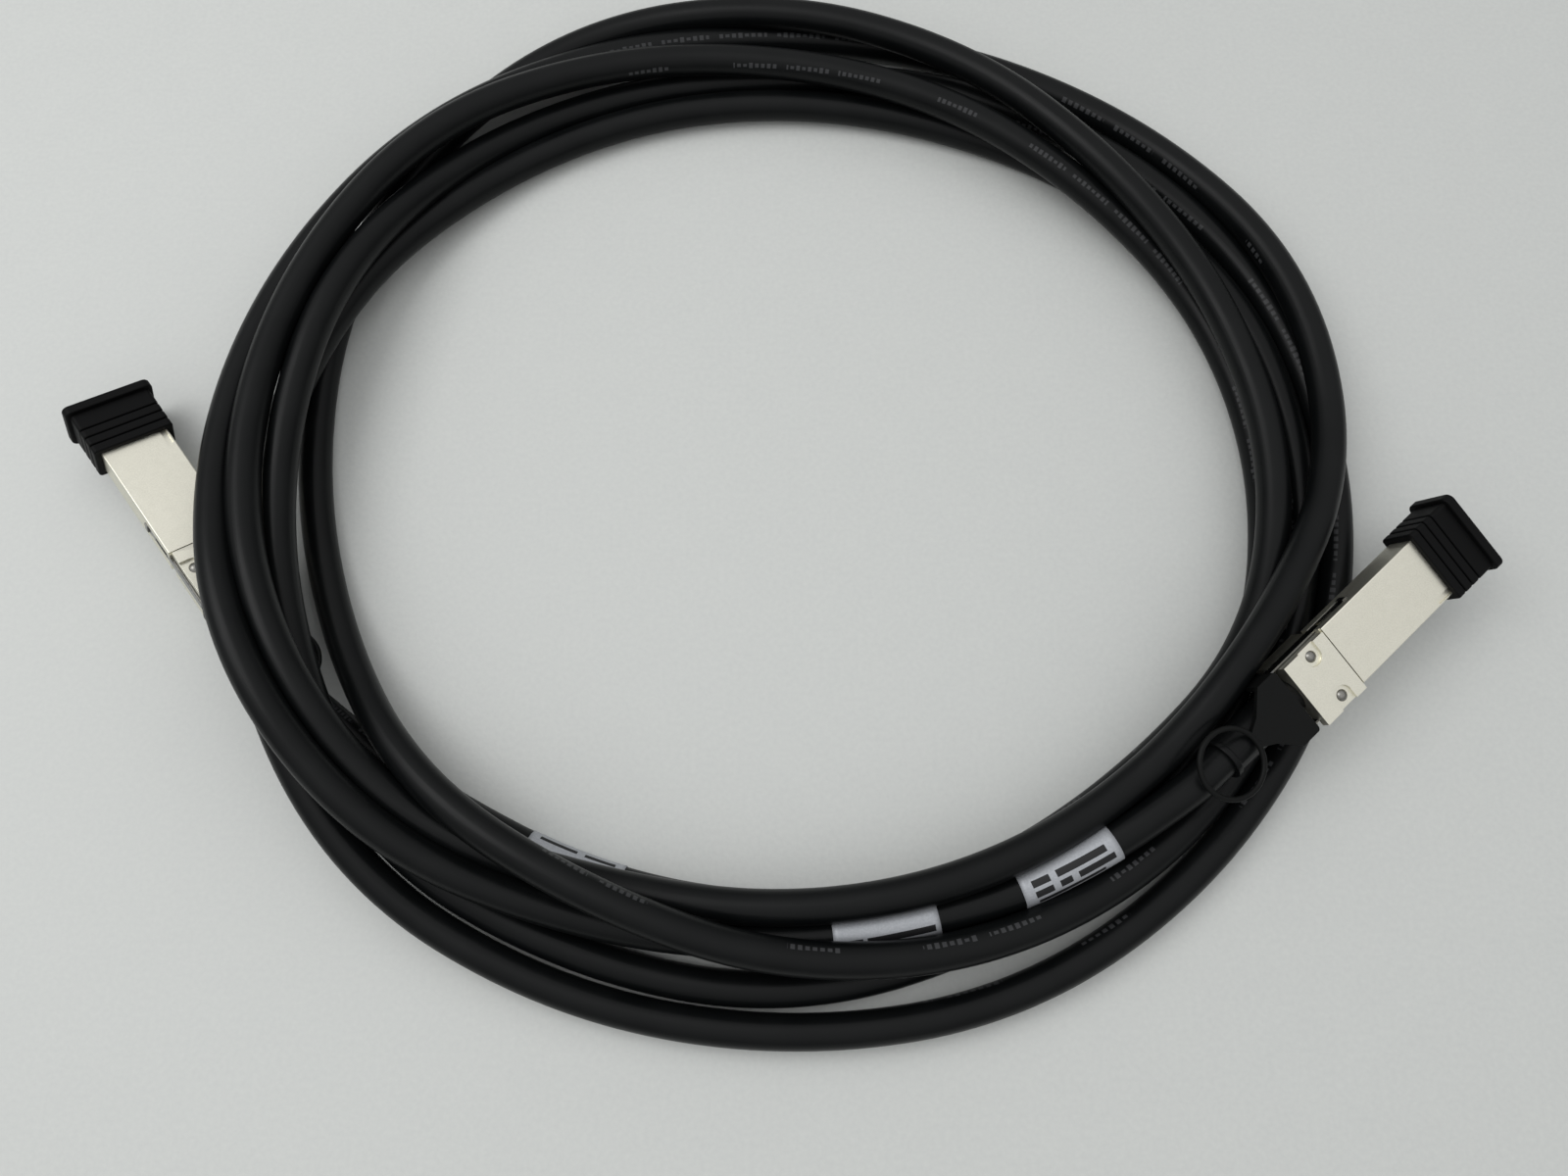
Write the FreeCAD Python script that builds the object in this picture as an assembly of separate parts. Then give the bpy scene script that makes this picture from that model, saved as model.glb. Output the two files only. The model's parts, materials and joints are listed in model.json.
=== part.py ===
import FreeCAD, Part
import math
import os

# External storage cable: one long copper cable with a four-lane plug and a dust cap on each end,
# lying on a table as a loose coil. Millimetres, +Z up, the table is z = 0, and the origin is on the
# table under the middle of the two plugs.
# Each plug is built in its own frame: x towards its nose, y to its left, z up, with the origin in the
# middle of the joint line between its nose and its rear block. It is then set down where it lies.

V = FreeCAD.Vector

# Fits
slide_gap = 0.1          # round every sliding piece
seat_gap = 0.05          # round a piece that is clamped or pushed in
beyond = 1.0             # how far a cut reaches past a face that it opens
same_place = 1e-6        # corners closer than this count as level

# Nose of the plug
nose_length = 48.0
nose_width = 18.35
nose_height = 8.5
nose_floor = 1.0
nose_wall = 0.9          # beside the card's contact end
latch_wall = 2.6         # beside the latch arms
latch_wall_length = 15.0
cover_thick = 1.0
seam_gap = 0.25
edge_round = 0.3
key_slot_length = 10.5
key_slot_start = 31.5
key_slot_width = 1.7
key_slot_depth = 0.7
key_slot_edge = 0.5      # metal left beside the slot
key_slot_corner = 0.68

# Rear block, which stands a little to the plug's right of its nose
block_length = 15.0
block_width = 18.9
block_shift = 1.1
block_drop = 4.75        # how far the block hangs below the nose
block_wall = 1.2
split_height = -0.6      # joint between the block's two halves

# Rivets that close the block
rivet_back = 6.5
rivet_web = 0.2          # metal between the right rivet's hole and the latch arm's groove
rivet_head_radius = 1.6
rivet_head_height = 0.9
rivet_shank_radius = 0.6
rivet_shank_length = 6.5
pocket_radius = 2.7
pocket_depth = 0.85

# Cable and what holds it
cable_diameter = 9.3
cable_height = -3.1      # the cable's middle in the plug's frame
ferrule_length = 5.0
ferrule_wall = 0.75
boot_length = 26.0
boot_wall = 0.95
boot_spigot = 2.0
boot_lip_length = 1.6
boot_lip_step = 0.35
boot_groove_count = 3
boot_groove_pitch = 2.2
boot_groove_width = 0.8
boot_groove_depth = 0.45
boot_groove_start = 4.2

# Card, contacts, pairs and the moulding over their joints
card_thick = 1.0
card_height = -0.2
card_start = 4.0
card_front_gap = 3.5     # from the card's edge back to the nose's mouth
card_rear_width = 12.6
pad_count = 19
pad_pitch = 0.8
pad_width = 0.5
pad_length = 2.6
pad_thick = 0.05
pad_setback = 0.4
pair_columns = 4
pair_radius = 0.75
pair_pitch_cable = 1.9
pair_rise_cable = 1.0
pair_pitch_card = 3.1
pair_overlap = 4.0
mould_length = 8.0
mould_height = 4.4

# Latch arms and their springs
arm_thick = 0.5
arm_height = 3.0
arm_reach = 13.2         # ahead of the nose's joint line
arm_tail = 4.6           # behind the block
arm_hook_length = 1.5
arm_hook_step = 0.45
latch_travel = 2.5
spring_pocket_start = 2.0
spring_pocket_length = 6.0
spring_pressed_length = 3.2
spring_radius = 0.62
spring_wire_radius = 0.16
spring_turns = 4

# Pull tab
tab_gap = 2.4            # between the block and the tab's plate
tab_width = 19.5
tab_thick = 1.35
tab_height = 2.75        # underside of the plate
tab_straight = 6.4
tab_neck_width = 8.7
tab_ring_back = 24.6     # plate's front edge to the ring's middle
tab_ring_radius = 9.7
tab_wire_radius = 0.75
tab_lug_width = 1.35
tab_lug_drop = 4.7
tab_corner = 1.0

# Dust cap
cap_start = 36.5
cap_length = 13.5
cap_width = 22.0
cap_height = 12.0
cap_corner = 1.1
cap_depth_spare = 0.4
flange_thick = 2.6
flange_width = 24.2
flange_height = 15.0
flange_corner = 2.0
rib_count = 3
rib_pitch = 2.8
rib_gap = 0.3
rib_step = 0.7           # from a rib's back down to the gap's bottom
rib_round = 0.45

# Coil
coil_middle_x = 5.78
coil_middle_y = 37.0
coil_inner_radius = 116.5
coil_outer_radius = 166.0
coil_height_left = 46.0
coil_height_right = 30.0
coil_edge = 8.0
bay_side = 2.0           # room beside each plug
bay_above = 2.6
bay_below = 1.2
bay_behind = 1.5         # room behind the pull ring at the end of its travel

# Where the plugs lie, by the joint line's middle: the left one from the coil's middle and on the table, the
# right one from the coil's middle and on top of the turns under it
left_plug_x = -160.3
left_plug_y = -25.7
left_plug_height = 12.51
right_plug_x = 143.6
right_plug_y = -58.85
right_plug_height = 20.5

# Which way the plugs lie, in degrees: heading of the nose, how far it points down, and lean to the right
left_heading = 127.9
left_dip = -1.0
left_lean = 21.5
right_heading = 41.9
right_dip = 1.0
right_lean = 16.0

cable_radius = cable_diameter / 2
half_width = nose_width / 2
half_height = nose_height / 2
block_bottom = -half_height - block_drop
block_left = block_width / 2 - block_shift
block_right = -block_width / 2 - block_shift
ferrule_radius = cable_radius + seat_gap + ferrule_wall
boot_radius = cable_radius + seat_gap + boot_wall
card_end = nose_length - card_front_gap
arm_outer = half_width - slide_gap
arm_inner = arm_outer - arm_thick
tab_front = -block_length - tab_gap
ring_middle = tab_front - tab_ring_back
ring_height = tab_height + tab_wire_radius
flange_start = cap_start + cap_length
bay_depth = -ring_middle + tab_ring_radius + latch_travel + bay_behind

coil_middle = V(coil_middle_x, coil_middle_y, 0)
plug_places = {
    "left": dict(at=coil_middle + V(left_plug_x, left_plug_y, left_plug_height),
                 heading=left_heading, dip=left_dip, lean=left_lean),
    "right": dict(at=coil_middle + V(right_plug_x, right_plug_y, right_plug_height),
                  heading=right_heading, dip=right_dip, lean=right_lean),
}


def block(x0, x1, y0, y1, z0, z1):
    return Part.makeBox(x1 - x0, y1 - y0, z1 - z0, V(x0, y0, z0))


def rod(radius, start, end):
    along = end - start
    return Part.makeCylinder(radius, along.Length, start, along)


def sleeve(outer, inner, x0, x1):
    axis_start = V(x0, 0, cable_height)
    axis_end = V(x1, 0, cable_height)
    return rod(outer, axis_start, axis_end).cut(rod(inner, axis_start, axis_end))


def rounded_bar(x0, x1, width, height, corner):
    """Bar along x with rounded corners in its section."""
    bar = block(x0, x1, -width / 2, width / 2, -height / 2, height / 2)
    lengthwise = [e for e in bar.Edges if abs(e.Vertexes[0].X - e.Vertexes[-1].X) > (x1 - x0) / 2]
    return bar.makeFillet(corner, lengthwise)


def round_ends(bar, radius):
    """Round the edges of a bar's two end faces."""
    across = [e for e in bar.Edges if e.BoundBox.XLength < bar.BoundBox.XLength / 2]
    return bar.makeFillet(radius, across)


def round_top_sides(shape, top, radius):
    """Round the long edges of a shell's top face."""
    edges = []
    for edge in shape.Edges:
        first, last = edge.Vertexes[0], edge.Vertexes[-1]
        level = abs(first.Z - top) < same_place and abs(last.Z - top) < same_place
        if level and abs(first.Y - last.Y) < same_place and abs(first.X - last.X) > nose_length / 2:
            edges.append(edge)
    return shape.makeFillet(radius, edges)


def rivet_spots():
    right = -arm_inner + slide_gap + rivet_web + seat_gap + rivet_shank_radius
    left = -2 * block_shift - right
    return [V(-rivet_back, y, half_height - pocket_depth) for y in (left, right)]


def latch_grooves():
    """Space for the latch arms along both sides of the nose and through the block's right side."""
    inner = arm_inner - slide_gap
    half = arm_height / 2 + slide_gap
    reach = arm_reach + slide_gap
    outside = max(half_width, -block_right) + beyond
    left = block(-block_length - beyond, reach, inner, outside, -half, half)
    right = block(-block_length - beyond, reach, -outside, -inner, -half, half)
    return left.fuse(right)


def spring_pockets():
    end = spring_pocket_start + spring_pocket_length
    half = spring_radius + spring_wire_radius + slide_gap
    floor = spring_line() - half
    left = block(spring_pocket_start, end, floor, half_width + beyond, -half, half)
    return left.fuse(left.mirror(V(0, 0, 0), V(0, 1, 0)))


def spring_line():
    """How far the springs lie from the plug's middle: half sunk in the arms' windows."""
    return arm_outer - spring_radius - spring_wire_radius


def saddle_bore():
    end = -block_length + boot_spigot + ferrule_length + seat_gap
    mouth = -block_length - beyond
    return rod(ferrule_radius + seat_gap, V(mouth, 0, cable_height), V(end, 0, cable_height))


def fan_out_room():
    """Hollow of the block in which the pairs spread from the ferrule to the card."""
    start = -block_length + boot_spigot + ferrule_length
    half = half_width - latch_wall
    return block(start, beyond, -half, half, block_bottom + block_wall, half_height - block_wall)


def lower_shell():
    tray = block(0, nose_length, -half_width, half_width, -half_height, half_height - cover_thick)
    rear_half = half_width - latch_wall
    front_half = half_width - nose_wall
    floor = -half_height + nose_floor
    rear = block(-beyond, latch_wall_length + beyond, -rear_half, rear_half, floor, half_height)
    front = block(latch_wall_length, nose_length + beyond, -front_half, front_half, floor, half_height)
    tray = tray.cut(rear).cut(front)
    base = block(-block_length, 0, block_right, block_left, block_bottom, split_height)
    drop_in = ferrule_radius + seat_gap
    bore_end = -block_length + boot_spigot + ferrule_length + seat_gap
    base = base.cut(saddle_bore())
    way_in = block(-block_length - beyond, bore_end, -drop_in, drop_in, cable_height, split_height + beyond)
    base = base.cut(way_in)
    shell = tray.fuse(base.cut(fan_out_room()))
    shell = shell.cut(latch_grooves()).cut(spring_pockets())
    for spot in rivet_spots():
        foot = spot - V(0, 0, rivet_shank_length + seat_gap)
        shell = shell.cut(rod(rivet_shank_radius + seat_gap, foot, spot))
    return shell.removeSplitter()


def nose_cover():
    lid = block(seam_gap, nose_length, -half_width, half_width, half_height - cover_thick, half_height)
    lid = round_top_sides(lid, half_height, edge_round)
    slot_right = -half_width + key_slot_edge
    slot = block(key_slot_start, key_slot_start + key_slot_length, slot_right, slot_right + key_slot_width,
                 half_height - key_slot_depth, half_height + beyond)
    upright = [e for e in slot.Edges if abs(e.Vertexes[0].Z - e.Vertexes[-1].Z) > key_slot_depth]
    return lid.cut(slot.makeFillet(key_slot_corner, upright))


def rear_cover():
    top = block(-block_length, 0, block_right, block_left, split_height, half_height)
    tongue_half = ferrule_radius
    bore_end = -block_length + boot_spigot + ferrule_length
    tongue = block(-block_length, bore_end, -tongue_half, tongue_half, cable_height, split_height)
    top = top.fuse(tongue).cut(saddle_bore()).cut(fan_out_room()).cut(latch_grooves())
    for spot in rivet_spots():
        outward = 1 if spot.y > -block_shift else -1
        side = block_left + beyond if outward > 0 else block_right - beyond
        rim = pocket_depth + beyond
        pocket = rod(pocket_radius, spot, spot + V(0, 0, rim))
        way_out = block(spot.x - pocket_radius, spot.x + pocket_radius, min(spot.y, side), max(spot.y, side),
                        spot.z, spot.z + rim)
        top = top.cut(pocket.fuse(way_out))
        top = top.cut(rod(rivet_shank_radius + seat_gap, spot - V(0, 0, rivet_shank_length), spot))
    return top.removeSplitter()


def shell_rivets():
    ball_radius = (rivet_head_radius ** 2 + rivet_head_height ** 2) / (2 * rivet_head_height)
    rivets = []
    for spot in rivet_spots():
        ball = Part.makeSphere(ball_radius, spot + V(0, 0, rivet_head_height - ball_radius))
        above = block(spot.x - ball_radius, spot.x + ball_radius, spot.y - ball_radius, spot.y + ball_radius,
                      spot.z, spot.z + ball_radius)
        shank = rod(rivet_shank_radius, spot - V(0, 0, rivet_shank_length), spot)
        rivets.append(ball.common(above).fuse(shank))
    return Part.makeCompound(rivets)


def paddle_card():
    low = card_height - card_thick / 2
    high = card_height + card_thick / 2
    wide = half_width - nose_wall - slide_gap
    narrow = card_rear_width / 2
    rear = block(card_start, latch_wall_length + seat_gap, -narrow, narrow, low, high)
    front = block(latch_wall_length + seat_gap, card_end, -wide, wide, low, high)
    return rear.fuse(front).removeSplitter()


def contact_pads():
    pads = []
    front = card_end - pad_setback
    for face in (card_height + card_thick / 2, card_height - card_thick / 2 - pad_thick):
        for index in range(pad_count):
            middle = (index - (pad_count - 1) / 2) * pad_pitch
            pads.append(block(front - pad_length, front, middle - pad_width / 2, middle + pad_width / 2,
                              face, face + pad_thick))
    return Part.makeCompound(pads)


def pair_wires():
    wires = []
    start = -block_length + boot_spigot + ferrule_length + seat_gap
    for side in (1, -1):
        for column in range(pair_columns):
            place = column - (pair_columns - 1) / 2
            gather = V(start, place * pair_pitch_cable, cable_height + side * pair_rise_cable)
            lift = card_height + side * (card_thick / 2 + pair_radius + seat_gap)
            knee = V(card_start, place * pair_pitch_card, lift)
            tip = knee + V(pair_overlap, 0, 0)
            wire = rod(pair_radius, gather, knee).fuse(Part.makeSphere(pair_radius, knee))
            wires.append(wire.fuse(rod(pair_radius, knee, tip)).removeSplitter())
    return wires


def inner_mould():
    """Moulding poured over the soldered joints, round the pairs and the card's rear end."""
    half = half_width - latch_wall - seat_gap
    low = -half_height + nose_floor
    start = card_start - pair_overlap / 2
    lump = block(start, card_start + mould_length, -half, half, low, low + mould_height)
    lump = lump.cut(paddle_card())
    for wire in pair_wires():
        lump = lump.cut(wire)
    return max(lump.Solids, key=lambda solid: solid.Volume)


def crimp_ferrule():
    start = -block_length + boot_spigot
    return sleeve(ferrule_radius, cable_radius + seat_gap, start, start + ferrule_length)


def boot():
    end = -block_length - boot_length
    bore = cable_radius + seat_gap
    body = sleeve(boot_radius, bore, end, -block_length)
    lip = sleeve(boot_radius + boot_lip_step, bore, end, end + boot_lip_length)
    spigot = sleeve(ferrule_radius, bore, -block_length, -block_length + boot_spigot)
    body = body.fuse(lip).fuse(spigot)
    for index in range(boot_groove_count):
        front = -block_length - boot_groove_start - index * boot_groove_pitch
        back = front - boot_groove_width
        body = body.cut(sleeve(boot_radius + beyond, boot_radius - boot_groove_depth, back, front))
    return body.removeSplitter()


def latch_slider():
    """Two arms with hooked ends and spring windows, joined by a bar that lies inside the tab's plate."""
    rear = -block_length - arm_tail
    half = arm_height / 2
    bar_low = tab_height + tab_thick / 3
    bar_high = tab_height + 2 * tab_thick / 3
    window_end = spring_pocket_start + spring_pocket_length
    window_half = spring_radius + spring_wire_radius + slide_gap
    arm = block(rear, arm_reach, arm_inner, arm_outer, -half, half)
    hook_start = arm_reach - arm_hook_length
    arm = arm.fuse(block(hook_start, arm_reach, arm_inner, arm_outer + arm_hook_step, -half, half))
    arm = arm.cut(block(spring_pocket_start, window_end, 0, half_width, -window_half, window_half))
    arm = arm.fuse(block(rear, tab_front - seat_gap, arm_inner, arm_outer, half, bar_high))
    bar = block(rear, tab_front - seat_gap, -arm_outer, arm_outer, bar_low, bar_high)
    return arm.fuse(arm.mirror(V(0, 0, 0), V(0, 1, 0))).fuse(bar).removeSplitter()


def return_springs():
    front = spring_pocket_start + spring_pocket_length - seat_gap
    pitch = (spring_pressed_length - 2 * spring_wire_radius) / spring_turns
    path = Part.makeHelix(pitch, pitch * spring_turns, spring_radius)
    section = Part.Wire(Part.makeCircle(spring_wire_radius, V(spring_radius, 0, 0), V(0, 1, 0)))
    coil = Part.Wire(path).makePipeShell([section], True, True)
    coil.rotate(V(0, 0, 0), V(0, 1, 0), -90)
    springs = []
    for side in (1, -1):
        one = coil.copy()
        one.translate(V(front - spring_wire_radius, side * spring_line(), 0))
        springs.append(one)
    return Part.makeCompound(springs)


def pull_tab():
    """Plate, neck and finger ring, with lugs down each side round the latch arms' tails."""
    half = tab_width / 2
    neck = tab_neck_width / 2
    straight_end = tab_front - tab_straight
    neck_start = straight_end - (half - neck)
    ring_front = ring_middle + tab_ring_radius - tab_wire_radius
    outline = [V(tab_front, half), V(straight_end, half), V(neck_start, neck), V(ring_front, neck / 2),
               V(ring_front, -neck / 2), V(neck_start, -neck), V(straight_end, -half), V(tab_front, -half)]
    plate = Part.Face(Part.makePolygon(outline + outline[:1])).extrude(V(0, 0, tab_thick))
    upright = [e for e in plate.Edges if abs(e.Vertexes[0].Z - e.Vertexes[-1].Z) > tab_thick / 2
               and abs(e.Vertexes[0].X - tab_front) < same_place]
    plate = plate.makeFillet(tab_corner, upright)
    plate.translate(V(0, 0, tab_height))
    ring = Part.makeTorus(tab_ring_radius - tab_wire_radius, tab_wire_radius, V(ring_middle, 0, ring_height))
    lug_low = tab_height - tab_lug_drop
    lug_high = tab_height + tab_thick / 2
    lugs = [block(straight_end, tab_front - tab_corner, y, y + tab_lug_width, lug_low, lug_high)
            for y in (half - tab_lug_width, -half)]
    tab = plate.fuse(ring).fuse(lugs[0]).fuse(lugs[1])
    return tab.cut(latch_slider()).removeSplitter()


def dust_cap():
    """Ribs round a core, then a plain length and the flange at the closed end."""
    first_rib_end = cap_start + rib_pitch - rib_gap
    body = rounded_bar(first_rib_end - rib_round, flange_start, cap_width - 2 * rib_step,
                       cap_height - 2 * rib_step, cap_corner - rib_step / 2)
    for index in range(rib_count):
        front = index * rib_pitch
        rib = rounded_bar(cap_start + front, first_rib_end + front, cap_width, cap_height, cap_corner)
        body = body.fuse(round_ends(rib, rib_round))
    plain_start = cap_start + rib_count * rib_pitch
    plain = rounded_bar(plain_start, flange_start + flange_thick / 2, cap_width, cap_height, cap_corner)
    body = body.fuse(round_ends(plain, rib_round))
    flange = rounded_bar(flange_start, flange_start + flange_thick, flange_width, flange_height,
                         flange_corner)
    body = body.fuse(round_ends(flange, rib_round))
    hollow = rounded_bar(cap_start - beyond, nose_length + cap_depth_spare, nose_width + 2 * slide_gap,
                         nose_height + 2 * slide_gap, edge_round)
    return body.cut(hollow)


def cable_lead():
    """The cable from inside the ferrule, through the boot, to the coil."""
    start = -block_length + boot_spigot
    return rod(cable_radius, V(start, 0, cable_height), V(-bay_depth, 0, cable_height))


def set_down(shape, place):
    """Lean, dip and turn a plug piece, then move it to where the plug lies."""
    shape = shape.copy()
    shape.rotate(V(0, 0, 0), V(1, 0, 0), place["lean"])
    shape.rotate(V(0, 0, 0), V(0, 1, 0), place["dip"])
    shape.rotate(V(0, 0, 0), V(0, 0, 1), place["heading"])
    shape.translate(place["at"])
    return shape


def plug_bay(name):
    """Room that the coil leaves for a plug: the turns bridge the left one and carry the right one."""
    side = tab_width / 2 + bay_side
    right_side = max(side, -block_right + bay_side)
    above = half_height + bay_above
    below = block_bottom - bay_below
    clear = 2 * coil_height_left
    low, high = (below - clear, above) if name == "left" else (below, above + clear)
    room = block(-bay_depth, flange_start + clear, -right_side, side, low, high)
    return set_down(room, plug_places[name])


def cable_coil():
    """Outer shape of the loose turns: a ring whose top slopes up to the side that crosses a plug."""
    ring = Part.makeCylinder(coil_outer_radius, coil_height_left, coil_middle)
    ring = ring.cut(Part.makeCylinder(coil_inner_radius, coil_height_left, coil_middle))
    slope = math.atan2(coil_height_left - coil_height_right, 2 * coil_outer_radius)
    reach = 3 * coil_outer_radius
    wedge = block(0, reach, -reach, reach, 0, coil_height_left)
    wedge.rotate(V(0, 0, 0), V(0, 1, 0), math.degrees(slope))
    wedge.translate(coil_middle + V(-coil_outer_radius, 0, coil_height_left))
    ring = ring.cut(wedge)
    upper = [e for e in ring.Edges if e.BoundBox.ZMin > coil_height_right / 2]
    ring = ring.makeFillet(coil_edge, upper)
    for name in plug_places:
        ring = ring.cut(plug_bay(name))
    return max(ring.Solids, key=lambda solid: solid.Volume)


plug_pieces = {
    "lower_shell": lower_shell(),
    "nose_cover": nose_cover(),
    "rear_cover": rear_cover(),
    "shell_rivets": shell_rivets(),
    "paddle_card": paddle_card(),
    "contact_pads": contact_pads(),
    "pair_wires": Part.makeCompound(pair_wires()),
    "inner_mould": inner_mould(),
    "crimp_ferrule": crimp_ferrule(),
    "boot": boot(),
    "latch_slider": latch_slider(),
    "return_springs": return_springs(),
    "pull_tab": pull_tab(),
    "dust_cap": dust_cap(),
    "cable_lead": cable_lead(),
}

os.makedirs("parts", exist_ok=True)
cable_coil().exportStep("parts/cable_coil.step")
for side, place in plug_places.items():
    for name, shape in plug_pieces.items():
        set_down(shape, place).exportStep("parts/" + side + "_" + name + ".step")
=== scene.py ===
import json
import math

import bmesh
import bpy
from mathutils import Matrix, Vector


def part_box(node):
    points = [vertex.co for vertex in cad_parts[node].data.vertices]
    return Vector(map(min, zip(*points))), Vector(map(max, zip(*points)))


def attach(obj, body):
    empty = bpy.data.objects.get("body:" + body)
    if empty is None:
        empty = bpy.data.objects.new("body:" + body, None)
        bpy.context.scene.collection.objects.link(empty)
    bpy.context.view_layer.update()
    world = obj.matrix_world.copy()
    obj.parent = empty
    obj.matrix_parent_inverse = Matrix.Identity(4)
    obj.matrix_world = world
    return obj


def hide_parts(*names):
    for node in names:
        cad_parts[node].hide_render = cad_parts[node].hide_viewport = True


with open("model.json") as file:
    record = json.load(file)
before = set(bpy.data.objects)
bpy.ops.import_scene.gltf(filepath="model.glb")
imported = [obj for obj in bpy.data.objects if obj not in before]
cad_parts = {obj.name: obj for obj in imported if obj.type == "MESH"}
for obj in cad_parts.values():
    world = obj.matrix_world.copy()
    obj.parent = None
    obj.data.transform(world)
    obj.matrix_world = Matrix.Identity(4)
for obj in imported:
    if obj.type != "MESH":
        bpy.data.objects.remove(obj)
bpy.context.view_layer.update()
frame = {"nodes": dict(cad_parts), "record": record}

mm = 0.001


# Camera
# It stands over the near side of the coil and looks down at it, tipped a little towards the far side, as a
# person does who holds it over the table.
coil_middle = Vector((5.78, 37.0, 0.0)) * mm
camera_height = 338 * mm
camera_back = 137 * mm
camera_tip = math.radians(17)
focal_pixels = 1271
image_width = 1600
sensor_width = 36
nearest_seen = 10 * mm

camera_data = bpy.data.cameras.new("camera")
camera_data.sensor_width = sensor_width
camera_data.lens = focal_pixels / image_width * sensor_width
camera_data.clip_start = nearest_seen
camera = bpy.data.objects.new("camera", camera_data)
camera.location = coil_middle + Vector((0, -camera_back, camera_height))
camera.rotation_euler = (camera_tip, 0, 0)
bpy.context.collection.objects.link(camera)
bpy.context.scene.camera = camera


# Light
# A soft lamp hangs over the table, to the left and a little back, in a pale room. The room's light comes
# mostly from above and fades towards the walls.
lamp_size = 0.6
lamp_place = Vector((-0.55, 0.15, 0.85))
lamp_power = 3.0
room_colour = (0.99, 0.995, 1.0)
room_above = 1.05
room_walls = 0.17

# Upward part of the direction from what a ray meets back to where it came from.
level_ray, upward_ray = 0, -1

lamp_data = bpy.data.lights.new("lamp", "AREA")
lamp_data.shape = "SQUARE"
lamp_data.size = lamp_size
lamp_data.energy = lamp_power
lamp = bpy.data.objects.new("lamp", lamp_data)
lamp.location = lamp_place
lamp.rotation_euler = (-lamp_place).to_track_quat("-Z", "Y").to_euler()
bpy.context.collection.objects.link(lamp)

world = bpy.data.worlds.new("room")
world.use_nodes = True
room = world.node_tree
background = room.nodes["Background"]
background.inputs["Color"].default_value = (*room_colour, 1)
ray = room.nodes.new("ShaderNodeNewGeometry")
ray_parts = room.nodes.new("ShaderNodeSeparateXYZ")
fade = room.nodes.new("ShaderNodeMapRange")
fade.inputs["From Min"].default_value = level_ray
fade.inputs["From Max"].default_value = upward_ray
fade.inputs["To Min"].default_value = room_walls
fade.inputs["To Max"].default_value = room_above
room.links.new(ray.outputs["Incoming"], ray_parts.inputs[0])
room.links.new(ray_parts.outputs["Z"], fade.inputs["Value"])
room.links.new(fade.outputs["Result"], background.inputs["Strength"])
bpy.context.scene.world = world
bpy.context.scene.view_settings.view_transform = "Standard"


# Floor
# A plain pale table top, far wider than the coil. Like the other finishes below, its paint gets patches and a
# fine grain from noise on the object's own coordinates.
floor_size = 40.0
floor_dark = (0.575, 0.59, 0.575)
floor_light = (0.615, 0.63, 0.61)

# Most noise lies between these two values. A finish mixes a fine grain with patches that are so many times as
# large, in these shares.
noise_low, noise_high = 0.3, 0.7
patch_to_grain = 8
grain_share, patch_share = 0.8, 0.2


def start_material(name, colour, roughness, metallic=0.0, gloss=0.5):
    """A new material and its shader, with one even colour to begin with."""
    material = bpy.data.materials.new(name)
    material.use_nodes = True
    shader = material.node_tree.nodes["Principled BSDF"]
    shader.inputs["Base Color"].default_value = (*colour, 1)
    shader.inputs["Roughness"].default_value = roughness
    shader.inputs["Metallic"].default_value = metallic
    shader.inputs["Specular IOR Level"].default_value = gloss
    return material, shader


def add_node(material, kind, **settings):
    node = material.node_tree.nodes.new(kind)
    for name, value in settings.items():
        setattr(node, name, value)
    return node


def join(material, source, target):
    material.node_tree.links.new(source, target)


def calculate(material, operation, *values):
    """A Math node; each value is a number or the output of another node."""
    node = add_node(material, "ShaderNodeMath", operation=operation)
    for socket, value in zip(node.inputs, values):
        if isinstance(value, (int, float)):
            socket.default_value = value
        else:
            join(material, value, socket)
    return node.outputs[0]


def noise(material, grain_size, detail=2.0):
    """Noise whose grains are about grain_size millimetres across."""
    place = add_node(material, "ShaderNodeTexCoord")
    texture = add_node(material, "ShaderNodeTexNoise")
    texture.inputs["Scale"].default_value = 1 / (grain_size * mm)
    texture.inputs["Detail"].default_value = detail
    join(material, place.outputs["Object"], texture.inputs["Vector"])
    return texture.outputs["Fac"]


def colour_between(material, amount, dark, light):
    """A colour ramp from dark to light, over the range of noise."""
    ramp = add_node(material, "ShaderNodeValToRGB")
    ramp.color_ramp.elements[0].position = noise_low
    ramp.color_ramp.elements[0].color = (*dark, 1)
    ramp.color_ramp.elements[1].position = noise_high
    ramp.color_ramp.elements[1].color = (*light, 1)
    join(material, amount, ramp.inputs["Fac"])
    return ramp.outputs["Color"]


def spread(material, amount, low, high):
    """Noise moved to the range from low to high."""
    node = add_node(material, "ShaderNodeMapRange")
    node.inputs["From Min"].default_value = noise_low
    node.inputs["From Max"].default_value = noise_high
    node.inputs["To Min"].default_value = low
    node.inputs["To Max"].default_value = high
    join(material, amount, node.inputs["Value"])
    return node.outputs["Result"]


def add_bump(material, shader, height, depth):
    """Bumps about depth millimetres deep."""
    bump = add_node(material, "ShaderNodeBump")
    bump.inputs["Strength"].default_value = 1.0
    bump.inputs["Distance"].default_value = depth * mm
    join(material, height, bump.inputs["Height"])
    join(material, bump.outputs["Normal"], shader.inputs["Normal"])


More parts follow.
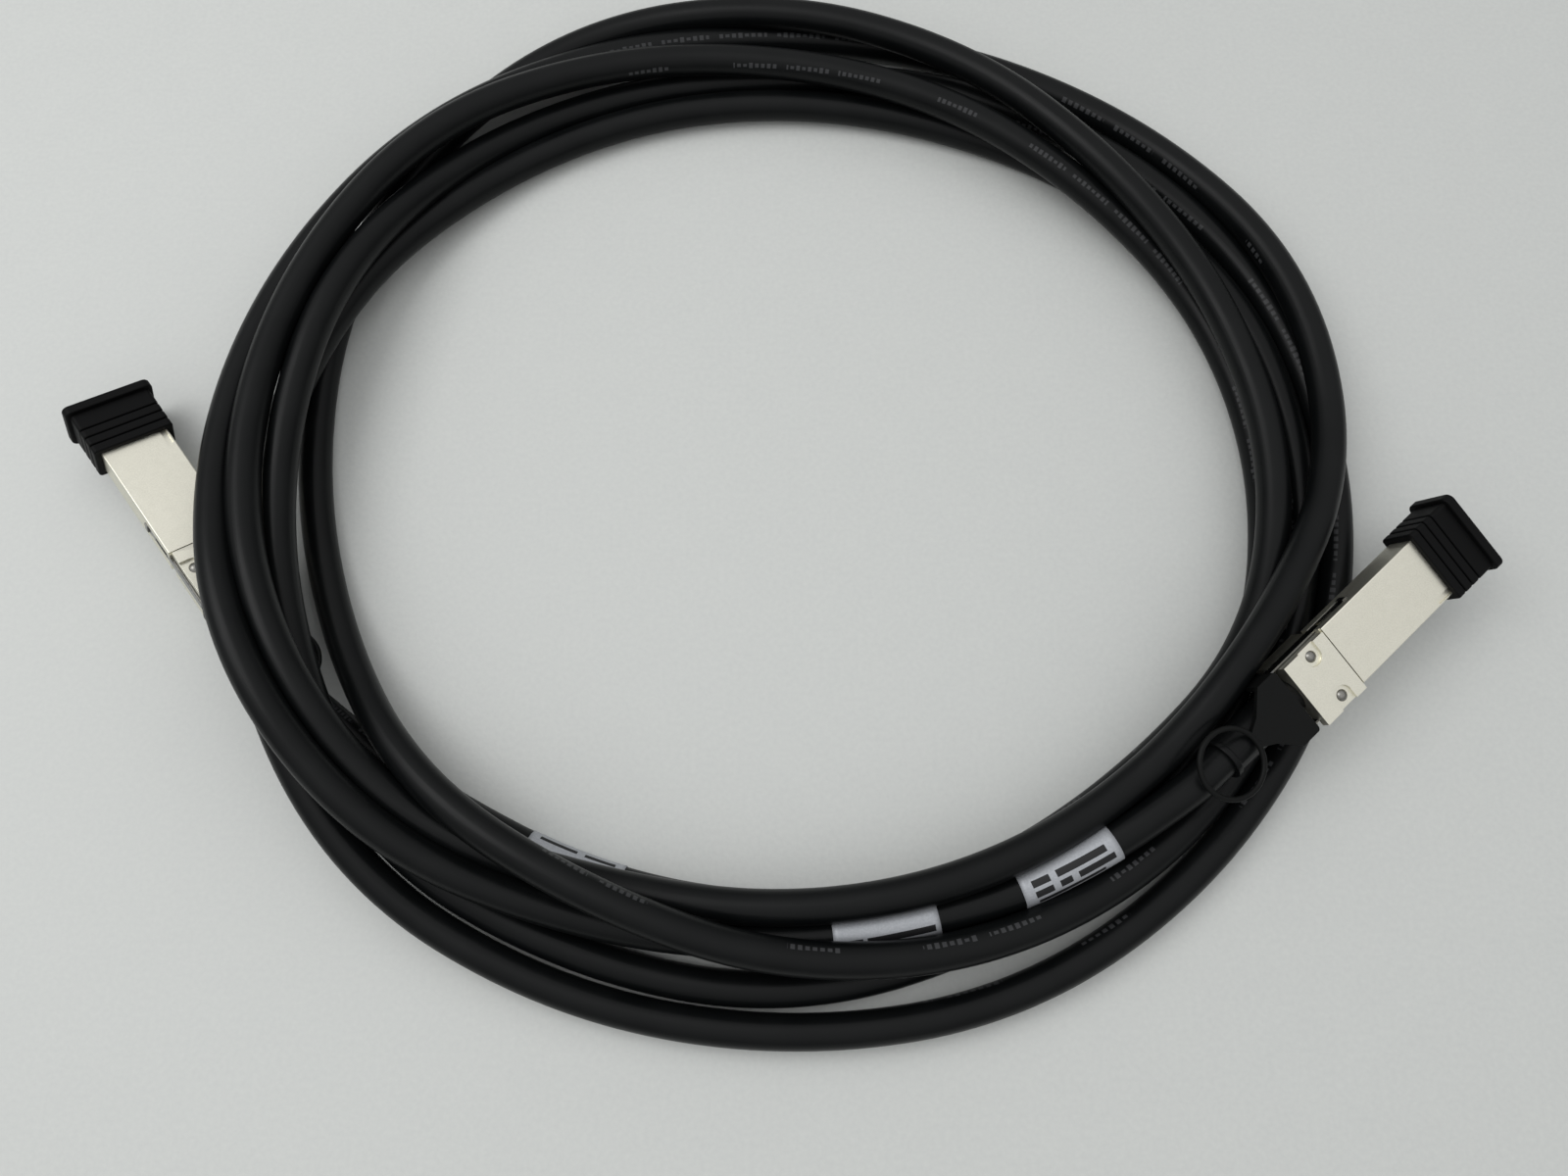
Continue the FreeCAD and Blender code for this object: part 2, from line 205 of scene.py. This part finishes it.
def grained(name, dark, light, rough, grain_size, depth, metallic=0.0, gloss=0.5):
    """A material whose colour and roughness vary over patches, with a fine grain on its surface."""
    material, shader = start_material(name, light, rough[1], metallic, gloss)
    patches = calculate(material, "MULTIPLY", noise(material, grain_size * patch_to_grain), patch_share)
    grain = noise(material, grain_size)
    mixed = calculate(material, "MULTIPLY_ADD", grain, grain_share, patches)
    join(material, colour_between(material, mixed, dark, light), shader.inputs["Base Color"])
    join(material, spread(material, mixed, *rough), shader.inputs["Roughness"])
    add_bump(material, shader, grain, depth)
    return material


floor_mesh = bpy.data.meshes.new("floor")
floor_bmesh = bmesh.new()
bmesh.ops.create_grid(floor_bmesh, x_segments=1, y_segments=1, size=floor_size / 2)
floor_bmesh.to_mesh(floor_mesh)
floor_bmesh.free()
floor_mesh.materials.append(grained("table_top", floor_dark, floor_light, rough=(0.55, 0.7), grain_size=1.4,
                                    depth=0.05))
floor = bpy.data.objects.new("floor", floor_mesh)
bpy.context.collection.objects.link(floor)


# Cable
# Eight copper pairs in a round satin black jacket, clamped in both plugs. It goes five turns and a bit round
# the coil's middle, anticlockwise from the left plug to the right one. Each row below is one turn, from the
# lower left, with the radius and the height of the cable's middle at each station, in millimetres.
cable_diameter = 9.3 * mm
cable_length = 4.8
stations_per_turn = 16
steps_per_station = 16
round_steps = 8
first_angle = 225

turn_radii = [
    [130, 123.3, 121.6, 124, 126.2, 136, 136.9, 134.6, 132.5, 143.7, 152.5, 162, 154.5, 143.3, 134.2, 130.5],
    [129.3, 127.4, 134.2, 140.8, 146, 148.3, 148, 146, 133.4, 125.7, 124.3, 127.3, 132.5, 136.7, 144.4, 149],
    [156.5, 153, 151.7, 155, 155.6, 157.7, 157.4, 155.3, 147.1, 139.9, 133.4, 136.7, 139.8, 137, 137, 139.3],
    [147, 142.8, 142.3, 138.5, 135.5, 139, 137, 134.6, 126.4, 127.3, 132, 141.5, 147.3, 146.3, 145, 142.3],
    [139, 124.3, 122, 123.4, 127.5, 134.6, 153.6, 159.7, 157.8, 151.7, 149, 151.3, 153, 154.4, 152.8, 150.2],
    [146.2, 134, 129.3, 129.8],
]
turn_heights = [
    [5, 5, 5, 5, 8, 14, 14.3, 15, 20, 15.5, 14.3, 6.5, 5, 5, 5, 6],
    [24.5, 26, 19.5, 14.5, 8, 5, 5, 5, 5, 5, 5, 5, 5.5, 15, 13.5, 27.5],
    [12.5, 5, 5, 5, 5, 5, 5, 5, 5, 5, 5, 5, 10, 24.5, 23, 22.8],
    [13, 5, 5, 5, 5, 5, 5, 5, 13, 15, 14.5, 15, 22, 24.5, 29, 33.5],
    [18.5, 14, 17, 19, 17, 25.2, 15.5, 14, 5, 5, 5, 8, 15, 17, 26.5, 38],
    [24, 12, 11.5, 12],
]
end_radius, end_angle, end_height = 135, 306, 15.5
lead_distances = (-8, 8, 18)

# The spline passes inside its control points, by shares of a quarter and three quarters, so they stand
# further out by this much.
step = 2 * math.pi / stations_per_turn
stand_out = 1 / (0.75 + 0.25 * math.cos(step))


def box_middle(node):
    low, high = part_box(node)
    return (Vector(low) + Vector(high)) / 2


def coil_point(radius, angle, height):
    return coil_middle + Vector((radius * math.cos(angle), radius * math.sin(angle), height)) * mm


def lead_points(side, distances):
    """Points on the axis of a plug's cable lead, at distances behind the lead's middle."""
    nose = next(m for m in frame["record"]["mounts"] if m["name"] == side + "_plug_nose")
    forward = Vector(nose["axis"]).normalized()
    return [box_middle(side + "_cable_lead") - forward * distance * mm for distance in distances]


route = lead_points("left", lead_distances)
angle = math.radians(first_angle)
for radii, heights in zip(turn_radii, turn_heights):
    for radius, height in zip(radii, heights):
        route.append(coil_point(radius * stand_out, angle, height))
        angle += step
route.append(coil_point(end_radius, math.radians(end_angle), end_height))
route += lead_points("right", reversed(lead_distances))

cable_curve = bpy.data.curves.new("cable", "CURVE")
cable_curve.dimensions = "3D"
cable_curve.twist_mode = "Z_UP"
spline = cable_curve.splines.new("NURBS")
spline.points.add(len(route) - 1)
for point, place in zip(spline.points, route):
    point.co = (*place, 1)
    point.radius = cable_diameter / 2
spline.order_u = 3
spline.use_endpoint_u = True
spline.resolution_u = steps_per_station
bare_line = bpy.data.objects.new("bare_line", cable_curve.copy())
cable_line = [vertex.co.copy() for vertex in bpy.data.meshes.new_from_object(bare_line).vertices]
bpy.data.objects.remove(bare_line)

# The thickness comes from the points' radius, so the bevel's own depth is one.
cable_curve.bevel_depth = 1.0
cable_curve.bevel_resolution = round_steps
cable_curve.use_fill_caps = True
cable = bpy.data.objects.new("cable", cable_curve)
bpy.context.collection.objects.link(cable)
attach(cable, "cable")
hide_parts("cable_coil", "left_cable_lead", "right_cable_lead")

# The jacket has faint lines drawn along it. Print runs along it too, here a row of small grey dashes, and
# swings to and fro round the cable about once in each turn of the coil. The dashes are left out where it
# faces away. Their height, middle and swing are in turns round the cable.
jacket_dark = (0.0028, 0.0033, 0.0035)
jacket_light = (0.0042, 0.0048, 0.005)
jacket_rough = (0.32, 0.39)
jacket_gloss = 0.16
print_colour = (0.04, 0.041, 0.043)
dash_pitch = 1.9 * mm
word_pitch = 17 * mm
dash_share = 0.62
word_share = 0.82
words_left_out = 0.2
dash_half_height = 0.028
dash_middle = -0.16
dash_swing = 0.3
half_turn = 0.5
swing_start = 0.2
swing_count = 4.88
print_seen_above = 0.5
drawn_line_length = 60 * mm
drawn_lines_round = 34
drawn_line_depth = 0.03
jacket_patch_size = 14.0


def mix_colours(material, amount, first, second):
    """Colour that goes from first, the output of a node, to second, an even colour."""
    mix = add_node(material, "ShaderNodeMix", data_type="RGBA")
    colours = [socket for socket in mix.inputs if socket.type == "RGBA"]
    join(material, amount, mix.inputs["Factor"])
    join(material, first, colours[0])
    colours[1].default_value = (*second, 1)
    return next(socket for socket in mix.outputs if socket.type == "RGBA")


jacket, jacket_shader = start_material("jacket", jacket_light, jacket_rough[1], gloss=jacket_gloss)
coordinates = add_node(jacket, "ShaderNodeTexCoord")
split = add_node(jacket, "ShaderNodeSeparateXYZ")
join(jacket, coordinates.outputs["UV"], split.inputs[0])
along, around = split.outputs["X"], split.outputs["Y"]

swing = calculate(jacket, "MULTIPLY_ADD", along, 2 * math.pi * swing_count, -2 * math.pi * swing_start)
swing_side = calculate(jacket, "COSINE", swing)
line = calculate(jacket, "MULTIPLY_ADD", swing_side, dash_swing, dash_middle)
off_line = calculate(jacket, "PINGPONG", calculate(jacket, "SUBTRACT", around, line), half_turn)
dash_place = calculate(jacket, "MULTIPLY", along, cable_length / dash_pitch)
word_place = calculate(jacket, "MULTIPLY", along, cable_length / word_pitch)
dash_random = add_node(jacket, "ShaderNodeTexWhiteNoise", noise_dimensions="1D")
join(jacket, calculate(jacket, "FLOOR", dash_place), dash_random.inputs["W"])
word_random = add_node(jacket, "ShaderNodeTexWhiteNoise", noise_dimensions="1D")
join(jacket, calculate(jacket, "FLOOR", word_place), word_random.inputs["W"])
dash_height = calculate(jacket, "MULTIPLY_ADD", dash_random.outputs["Value"], dash_half_height / 2,
                        dash_half_height / 2)
in_dash = calculate(jacket, "LESS_THAN", calculate(jacket, "FRACT", dash_place), dash_share)
in_word = calculate(jacket, "LESS_THAN", calculate(jacket, "FRACT", word_place), word_share)
word_there = calculate(jacket, "GREATER_THAN", word_random.outputs["Value"], words_left_out)
dashes = calculate(jacket, "LESS_THAN", off_line, dash_height)
on_seen_side = calculate(jacket, "GREATER_THAN", swing_side, print_seen_above)
for limit in (in_dash, in_word, word_there, on_seen_side):
    dashes = calculate(jacket, "MULTIPLY", dashes, limit)

jacket_patches = noise(jacket, jacket_patch_size)
jacket_black = colour_between(jacket, jacket_patches, jacket_dark, jacket_light)
join(jacket, mix_colours(jacket, dashes, jacket_black, print_colour), jacket_shader.inputs["Base Color"])
join(jacket, spread(jacket, jacket_patches, *jacket_rough), jacket_shader.inputs["Roughness"])

drawn_lines = add_node(jacket, "ShaderNodeMapping")
drawn_lines.inputs["Scale"].default_value = (cable_length / drawn_line_length, drawn_lines_round, 1)
join(jacket, coordinates.outputs["UV"], drawn_lines.inputs["Vector"])
drawn_noise = add_node(jacket, "ShaderNodeTexNoise")
drawn_noise.inputs["Scale"].default_value = 1.0
join(jacket, drawn_lines.outputs["Vector"], drawn_noise.inputs["Vector"])
add_bump(jacket, jacket_shader, drawn_noise.outputs["Fac"], drawn_line_depth)
cable_curve.materials.append(jacket)


# Labels
# Three silver labels of plastic film are wrapped round the cable near its ends and stuck. Each laps over
# itself underneath, and plain dark bars stand where its print would be.
label_length = 27 * mm
label_thick = 0.12 * mm
label_gap = 0.06 * mm
label_lap = math.radians(20)
lap_rise = 1.3 * label_thick
label_rings = 18
label_sides = 56
label_dark = (0.36, 0.375, 0.40)
label_light = (0.43, 0.445, 0.47)
label_rough = 0.5
label_metallic = 0.35
label_grain_size = 0.5
label_bump_size = 0.25
label_bump_depth = 0.01
bar_colour = (0.012, 0.012, 0.013)
wrap = 2 * math.pi + label_lap
wrap_degrees = math.degrees(wrap)

# Where each label starts, in millimetres along the cable, and its bars: middle and half size along the
# label, then the angle from the top towards the coil's outside and the half size round it, in degrees.
cable_end = sum((b - a).length for a, b in zip(cable_line, cable_line[1:])) / mm
labels = {
    "left_label": (99, [(0.30, 0.20, -52, 7), (0.74, 0.16, -52, 7)]),
    "right_label_low": (cable_end - 126, [(0.17, 0.10, 34, 11), (0.63, 0.32, 34, 11)]),
    "right_label_high": (cable_end - 77, [(0.20, 0.09, 0, 11), (0.62, 0.26, 0, 11), (0.20, 0.09, 34, 11),
                                          (0.42, 0.06, 34, 11), (0.74, 0.19, 34, 11), (0.46, 0.34, 64, 8)]),
}


def along_cable(distance):
    """The place and the direction of the cable's middle line, distance metres from its left end."""
    for start, end in zip(cable_line, cable_line[1:]):
        run = (end - start).length
        if distance <= run:
            return start + (end - start) * (distance / run), (end - start).normalized()
        distance -= run
    return cable_line[-1], (cable_line[-1] - cable_line[-2]).normalized()


def label_film(name, bars):
    """The label's material, with its bars placed on the label's own UV map."""
    material, shader = start_material(name, label_light, label_rough, label_metallic)
    film = colour_between(material, noise(material, label_grain_size), label_dark, label_light)
    place = add_node(material, "ShaderNodeTexCoord")
    parts = add_node(material, "ShaderNodeSeparateXYZ")
    join(material, place.outputs["UV"], parts.inputs[0])
    printed = 0.0
    for middle, half, turned, half_turned in bars:
        lengthways = calculate(material, "COMPARE", parts.outputs["X"], middle, half)
        sideways = calculate(material, "COMPARE", parts.outputs["Y"], 0.5 + turned / wrap_degrees,
                             half_turned / wrap_degrees)
        bar = calculate(material, "MULTIPLY", lengthways, sideways)
        printed = calculate(material, "MAXIMUM", printed, bar)
    join(material, mix_colours(material, printed, film, bar_colour), shader.inputs["Base Color"])
    add_bump(material, shader, noise(material, label_bump_size), label_bump_depth)
    return material


for name, (start, bars) in labels.items():
    label_bmesh = bmesh.new()
    label_uv = label_bmesh.loops.layers.uv.new("UVMap")
    bmesh.ops.create_grid(label_bmesh, x_segments=label_rings, y_segments=label_sides, size=0.5)
    for face in label_bmesh.faces:
        face.smooth = True
        for loop in face.loops:
            loop[label_uv].uv = (loop.vert.co.x + 0.5, loop.vert.co.y + 0.5)
    for corner in label_bmesh.verts:
        lengthways, sideways = corner.co.x + 0.5, corner.co.y + 0.5
        place, forward = along_cable(start * mm + label_length * lengthways)
        out = forward.cross(Vector((0, 0, 1))).normalized()
        up = out.cross(forward)
        turned = wrap * (sideways - 0.5)
        radius = cable_diameter / 2 + label_gap + lap_rise * sideways
        corner.co = place + (up * math.cos(turned) + out * math.sin(turned)) * radius
    bmesh.ops.reverse_faces(label_bmesh, faces=label_bmesh.faces)
    label_mesh = bpy.data.meshes.new(name)
    label_bmesh.to_mesh(label_mesh)
    label_bmesh.free()
    label_mesh.materials.append(label_film(name, bars))
    label = bpy.data.objects.new(name, label_mesh)
    bpy.context.collection.objects.link(label)
    label.modifiers.new("thickness", "SOLIDIFY").thickness = -label_thick
    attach(label, "cable")


# Plug shells
# Each plug has a cast zinc shell with a satin nickel coat: a lower half, a plate over the nose and a cover
# over the rear block. The solids are shown as they are, with their sharp edges broken a little.
shell_rounding = 0.18
same_corner = 0.002 * mm
rounding_steps = 3
sharp_from = math.radians(40)
shell_nickel = grained("shell_nickel", dark=(0.77, 0.75, 0.645), light=(0.89, 0.87, 0.76),
                       rough=(0.36, 0.46), grain_size=0.3, depth=0.004, metallic=1.0)


def finish_piece(piece, finish, rounding=0.0):
    """Give a piece of both plugs its material and, where asked, edges rounded by so many millimetres."""
    for side in ("left", "right"):
        node = frame["nodes"][side + "_" + piece]
        node.data.materials.clear()
        node.data.materials.append(finish)
        if rounding:
            node.modifiers.new("weld", "WELD").merge_threshold = same_corner
            bevel = node.modifiers.new("rounding", "BEVEL")
            bevel.width = rounding * mm
            bevel.segments = rounding_steps
            bevel.limit_method = "ANGLE"
            bevel.angle_limit = sharp_from
            bevel.harden_normals = True


finish_piece("lower_shell", shell_nickel, shell_rounding)
finish_piece("nose_cover", shell_nickel, shell_rounding)
finish_piece("rear_cover", shell_nickel, shell_rounding)


# Rivets
# Two domed rivets of dark steel close each rear block. Their heads sit in round pockets of the cover, which
# are open to the block's sides.
rivet_steel = grained("rivet_steel", dark=(0.2, 0.195, 0.18), light=(0.3, 0.295, 0.275),
                      rough=(0.24, 0.34), grain_size=0.3, depth=0.004, metallic=1.0)
finish_piece("shell_rivets", rivet_steel)


# Card and contacts
# A green circuit board lies in each nose, clamped between the shell's halves. Its front edge has gold plated
# pads on both faces.
card_green = grained("card_green", dark=(0.03, 0.13, 0.06), light=(0.05, 0.19, 0.09), rough=(0.3, 0.4),
                     grain_size=0.4, depth=0.01)
contact_gold = grained("contact_gold", dark=(0.72, 0.52, 0.2), light=(0.85, 0.66, 0.3), rough=(0.2, 0.3),
                       grain_size=0.2, depth=0.003, metallic=1.0)
finish_piece("paddle_card", card_green)
finish_piece("contact_pads", contact_gold)


# Wire pairs and their moulding
# Eight pairs wrapped in foil run from the cable to the card inside each rear block. A black moulding covers
# their soldered ends and holds them.
pair_foil = grained("pair_foil", dark=(0.6, 0.61, 0.63), light=(0.74, 0.75, 0.77), rough=(0.2, 0.34),
                    grain_size=0.3, depth=0.01, metallic=1.0)
mould_black = grained("mould_black", dark=(0.04, 0.04, 0.045), light=(0.06, 0.06, 0.066),
                      rough=(0.5, 0.65), grain_size=0.4, depth=0.01)
finish_piece("pair_wires", pair_foil)
finish_piece("inner_mould", mould_black)


# Ferrule and boot
# A brass ring grips the cable in each rear block. Behind it a grooved boot of black rubber, moulded with a
# lip at its end, keeps the cable from kinking.
boot_rounding = 0.2
ferrule_brass = grained("ferrule_brass", dark=(0.6, 0.44, 0.2), light=(0.74, 0.57, 0.28),
                        rough=(0.25, 0.38), grain_size=0.3, depth=0.004, metallic=1.0)
boot_rubber = grained("boot_rubber", dark=(0.003, 0.0034, 0.0036), light=(0.0045, 0.005, 0.0052),
                      rough=(0.3, 0.38), grain_size=0.5, depth=0.01, gloss=0.15)
finish_piece("crimp_ferrule", ferrule_brass)
finish_piece("boot", boot_rubber, boot_rounding)


# Latch
# Each latch is one piece of bright steel with two hooked arms along the nose; its colour is painted dark, as
# painted shade for the black cable that it reflects. Two small springs push it forward, and the pull tab is
# moulded on its bar.
# Painted shade: the steel's dark colour stands for the black cable and shade that the arms reflect.
latch_steel = grained("latch_steel", dark=(0.13, 0.13, 0.13), light=(0.22, 0.22, 0.22),
                      rough=(0.18, 0.28), grain_size=0.3, depth=0.004, metallic=1.0)
finish_piece("latch_slider", latch_steel)
finish_piece("return_springs", latch_steel)


# Pull tabs
# A flat tab of satin charcoal plastic, moulded on the latch's bar behind each plug. Its neck ends in a thin
# finger ring, which lies over the boot.
tab_rounding = 0.2
tab_plastic = grained("tab_plastic", dark=(0.004, 0.0043, 0.0042), light=(0.006, 0.0065, 0.0063),
                      rough=(0.42, 0.52), grain_size=0.35, depth=0.008, gloss=0.12)
finish_piece("pull_tab", tab_plastic, tab_rounding)


# Dust caps
# A soft matt black cap, moulded in one piece with ribs and an end flange, is pushed over each nose and held
# by its own grip.
cap_rounding = 0.12
cap_rubber = grained("cap_rubber", dark=(0.0028, 0.0029, 0.003), light=(0.0042, 0.0043, 0.0045),
                     rough=(0.5, 0.62), grain_size=0.35, depth=0.01, gloss=0.1)
finish_piece("dust_cap", cap_rubber, cap_rounding)
